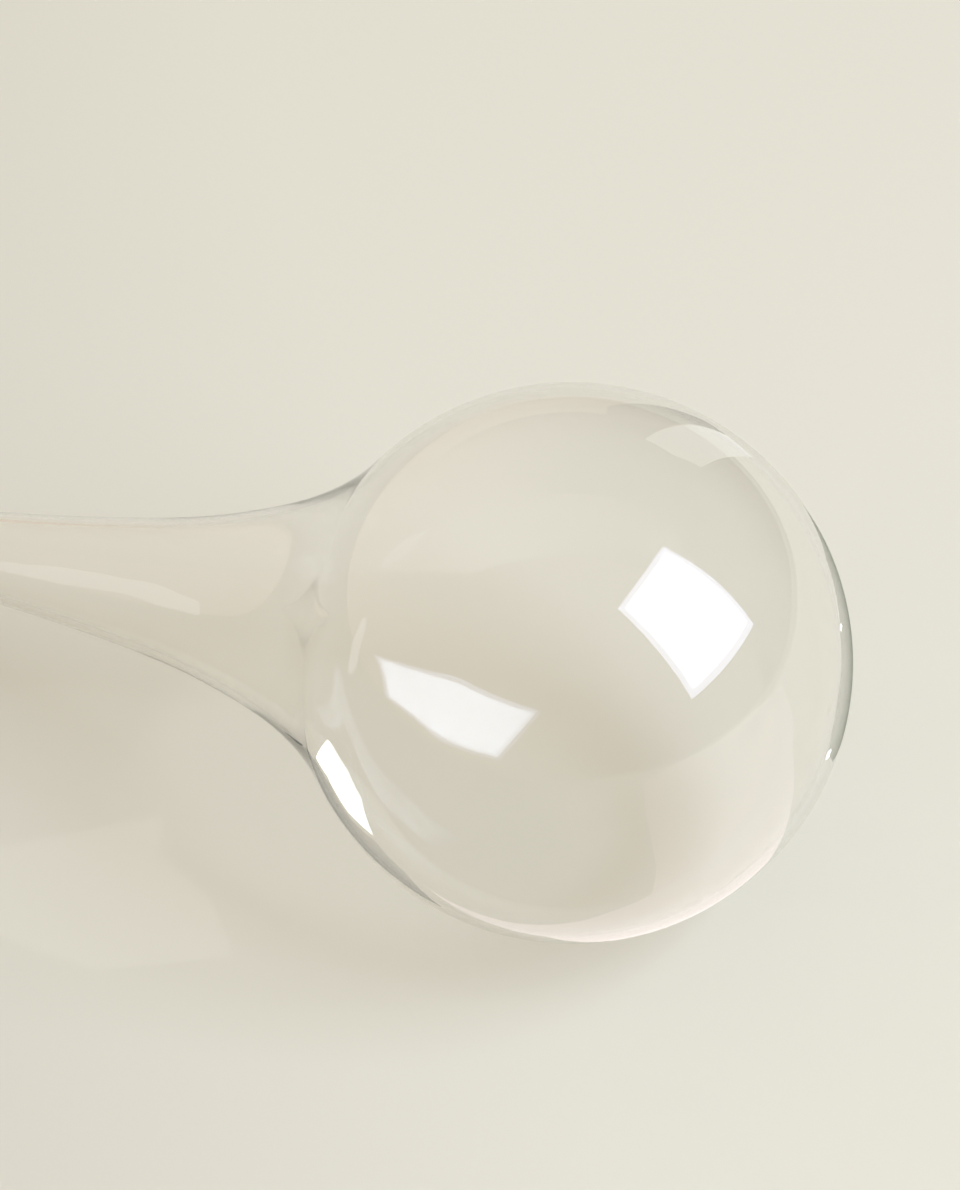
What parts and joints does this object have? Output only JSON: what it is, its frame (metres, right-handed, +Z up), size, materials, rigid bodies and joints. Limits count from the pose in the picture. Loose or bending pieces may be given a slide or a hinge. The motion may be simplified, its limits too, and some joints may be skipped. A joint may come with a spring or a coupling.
{
  "type": "watering globe",
  "caption": "Clear blown-glass watering globe: a thin round bulb whose funnel neck is drawn down to a straight hollow stem for pushing into soil.",
  "frame": {"origin": "on the ground under the middle of the globe's bounding box, with the globe lying on its side", "axes": "+Z up, +X towards the bulb and -X towards the stem's open tip; the globe's own axis lies in the XZ plane and slopes 9.6 degrees down to the tip"},
  "size_m": [0.2478, 0.08, 0.08],
  "materials": {
    "clear_glass": "clear, colourless, smooth blown glass with a fire-polished lip"
  },
  "bodies": {
    "root": {"bulb": "clear_glass", "neck": "clear_glass", "stem": "clear_glass", "outlet_tip": "clear_glass"}
  },
  "joints": []
}
